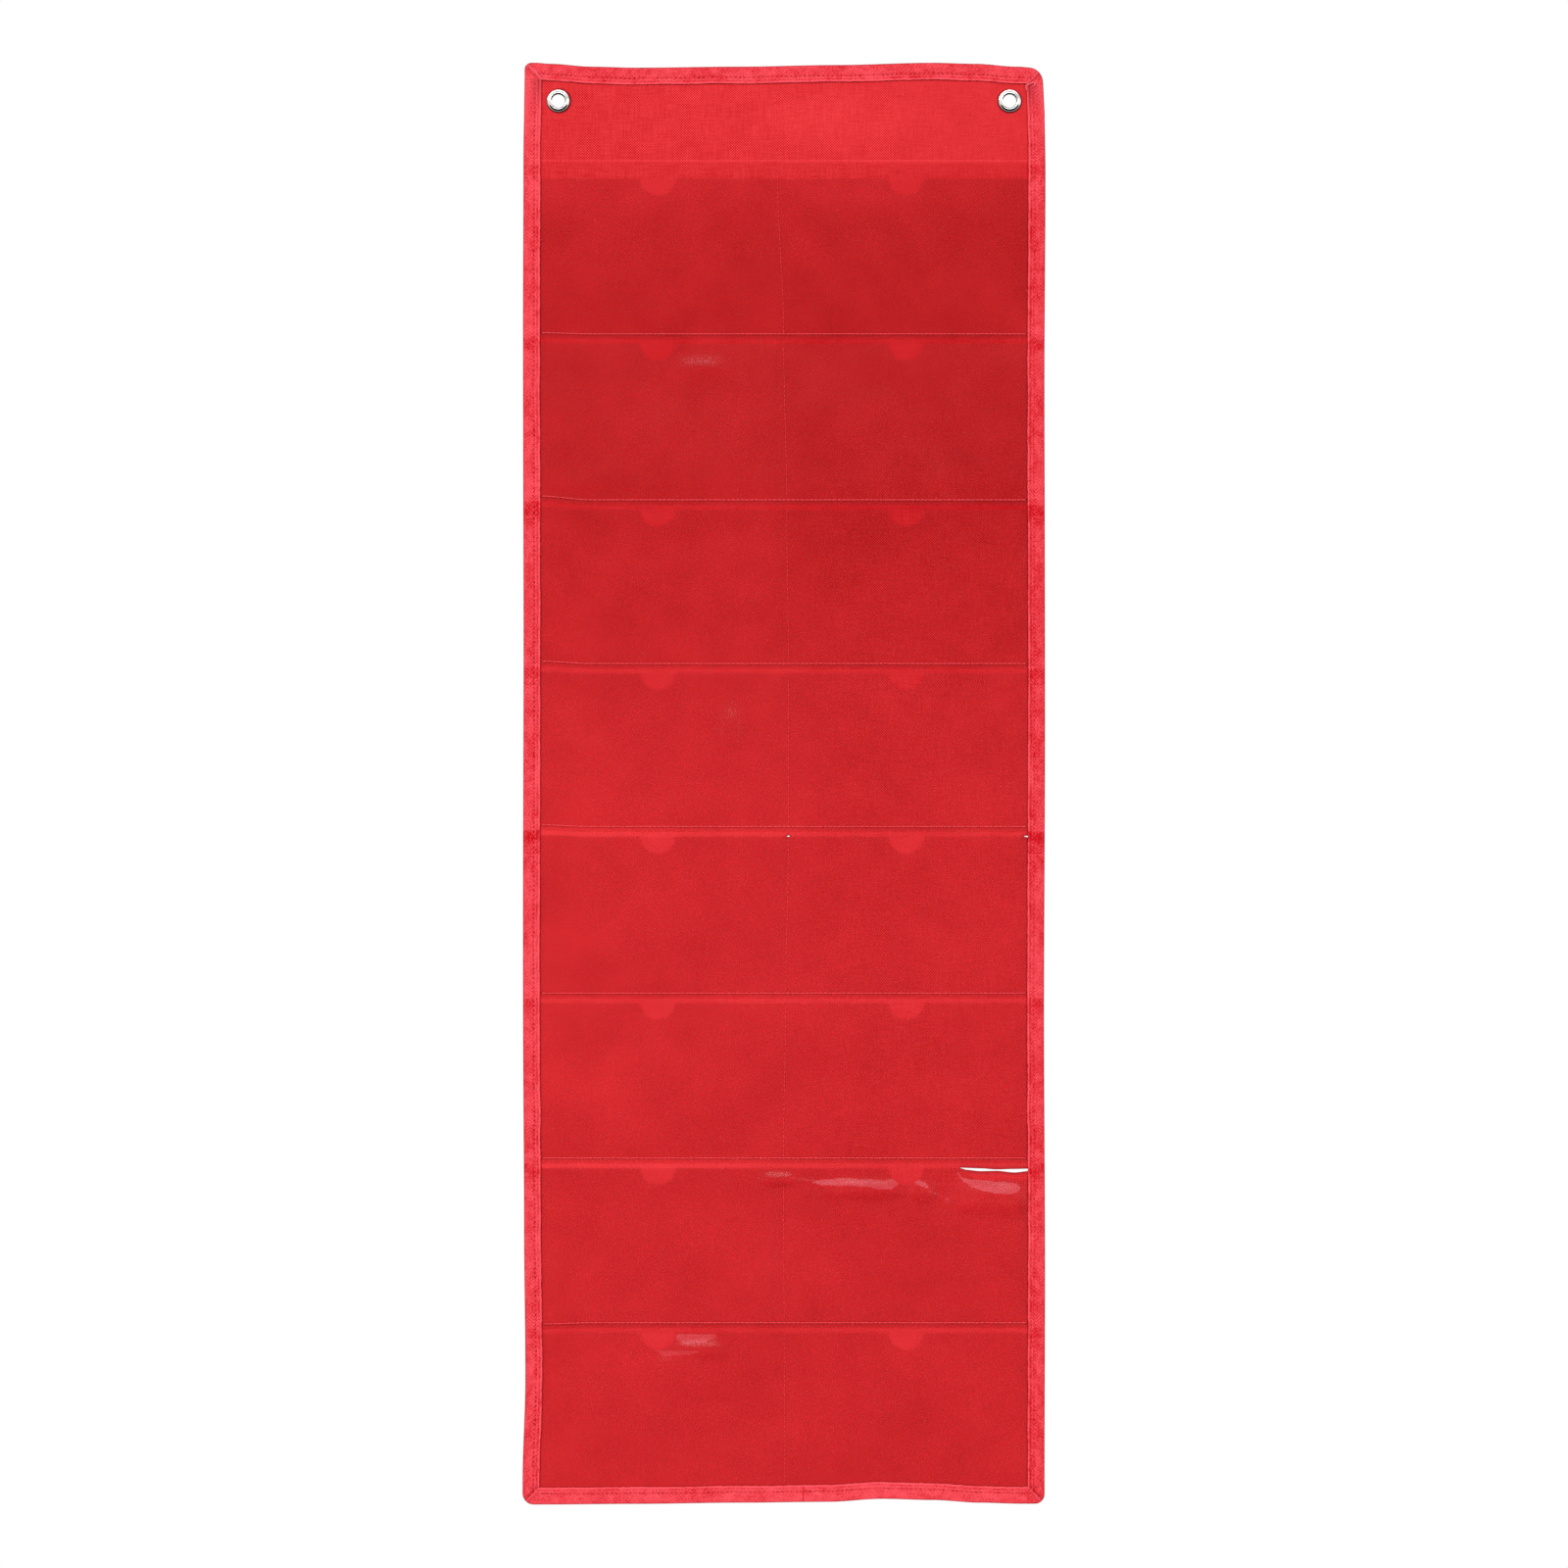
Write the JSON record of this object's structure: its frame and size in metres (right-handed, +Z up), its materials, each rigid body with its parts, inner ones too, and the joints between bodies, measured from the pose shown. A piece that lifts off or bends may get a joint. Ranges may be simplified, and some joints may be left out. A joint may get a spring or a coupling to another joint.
{
  "type": "hanging pocket chart",
  "caption": "Tall cloth chart that hangs from eyelets in its header and holds cards in rows of clear notched film pockets, bound with woven tape; folds flat at its rows.",
  "frame": {"origin": "the middle point between the two eyelets' centres, at the middle of the header cloth's thickness", "axes": "+Z up along the hanging chart, -Y out of its front, +X to the right as seen from the front"},
  "size_m": [0.351, 0.006, 0.9702],
  "materials": {
    "cloth": "plain woven polyester, matt",
    "film": "clear flexible film, glossy, lightly scuffed",
    "tape": "twilled binding tape, matt",
    "nickel": "bright nickel plate"
  },
  "bodies": {
    "header": {"header_cloth": "cloth", "header_tape": "tape", "left_eyelet": "nickel", "left_eyelet_washer": "nickel", "right_eyelet": "nickel", "right_eyelet_washer": "nickel"},
    "row_1": {"row_1_cloth": "cloth", "row_1_film": "film", "row_1_left_tape": "tape", "row_1_right_tape": "tape"},
    "row_2": {"row_2_cloth": "cloth", "row_2_film": "film", "row_2_left_tape": "tape", "row_2_right_tape": "tape"},
    "row_3": {"row_3_cloth": "cloth", "row_3_film": "film", "row_3_left_tape": "tape", "row_3_right_tape": "tape"},
    "row_4": {"row_4_cloth": "cloth", "row_4_film": "film", "row_4_left_tape": "tape", "row_4_right_tape": "tape"},
    "row_5": {"row_5_cloth": "cloth", "row_5_film": "film", "row_5_left_tape": "tape", "row_5_right_tape": "tape"},
    "row_6": {"row_6_cloth": "cloth", "row_6_film": "film", "row_6_left_tape": "tape", "row_6_right_tape": "tape"},
    "row_7": {"row_7_cloth": "cloth", "row_7_film": "film", "row_7_left_tape": "tape", "row_7_right_tape": "tape"},
    "row_8": {"row_8_cloth": "cloth", "row_8_film": "film", "row_8_tape": "tape"}
  },
  "joints": [
    {"name": "fold_1", "type": "hinge", "parent": "header", "child": "row_1", "pos_m": [0, 0.0014, -0.0422], "axis": [1, 0, 0], "range_deg": [-1.5, 178.5]},
    {"name": "fold_2", "type": "hinge", "parent": "row_1", "child": "row_2", "pos_m": [0, 0.00127, -0.16315], "axis": [-1, 0, 0], "range_deg": [-3, 177]},
    {"name": "fold_3", "type": "hinge", "parent": "row_2", "child": "row_3", "pos_m": [0, 0.00166, -0.27419], "axis": [1, 0, 0], "range_deg": [-3, 177]},
    {"name": "fold_4", "type": "hinge", "parent": "row_3", "child": "row_4", "pos_m": [0, 0.00127, -0.38524], "axis": [-1, 0, 0], "range_deg": [-3, 177]},
    {"name": "fold_5", "type": "hinge", "parent": "row_4", "child": "row_5", "pos_m": [0, 0.00166, -0.49629], "axis": [1, 0, 0], "range_deg": [-3, 177]},
    {"name": "fold_6", "type": "hinge", "parent": "row_5", "child": "row_6", "pos_m": [0, 0.00127, -0.60734], "axis": [-1, 0, 0], "range_deg": [-3, 177]},
    {"name": "fold_7", "type": "hinge", "parent": "row_6", "child": "row_7", "pos_m": [0, 0.00166, -0.71839], "axis": [1, 0, 0], "range_deg": [-3, 177]},
    {"name": "fold_8", "type": "hinge", "parent": "row_7", "child": "row_8", "pos_m": [0, 0.00127, -0.82944], "axis": [-1, 0, 0], "range_deg": [-3, 177]}
  ]
}
